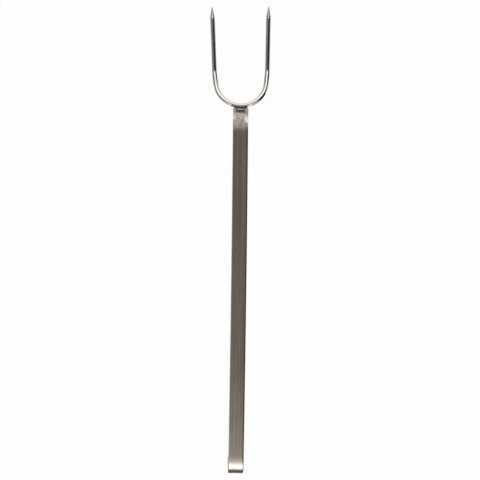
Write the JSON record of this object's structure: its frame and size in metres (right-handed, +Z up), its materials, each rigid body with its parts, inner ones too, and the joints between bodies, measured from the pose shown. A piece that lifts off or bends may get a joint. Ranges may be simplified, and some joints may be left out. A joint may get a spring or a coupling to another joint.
{
  "type": "two-prong fork",
  "caption": "Long two-prong meat fork: a flat steel strap handle with a hanging hook, and a round rod bent to a U with two ground points, welded across its end.",
  "frame": {"origin": "on the table below the middle of the fork's box; the fork lies on its back, on its two tines and its hook", "axes": "+Y along the handle towards the points, +Z up, out of the face that the picture shows, +X to the right as seen from above"},
  "size_m": [0.0634, 0.4872, 0.017],
  "materials": {
    "strap_steel": "steel flat bar, brushed lengthwise, dulled by use",
    "rod_steel": "drawn steel rod, bright, with ground points",
    "weld_metal": "weld bead, brown to violet with heat tint at its toes"
  },
  "bodies": {
    "root": {"handle_strap": "strap_steel", "prong_rod": "rod_steel", "front_weld": "weld_metal", "back_weld": "weld_metal"}
  },
  "joints": []
}
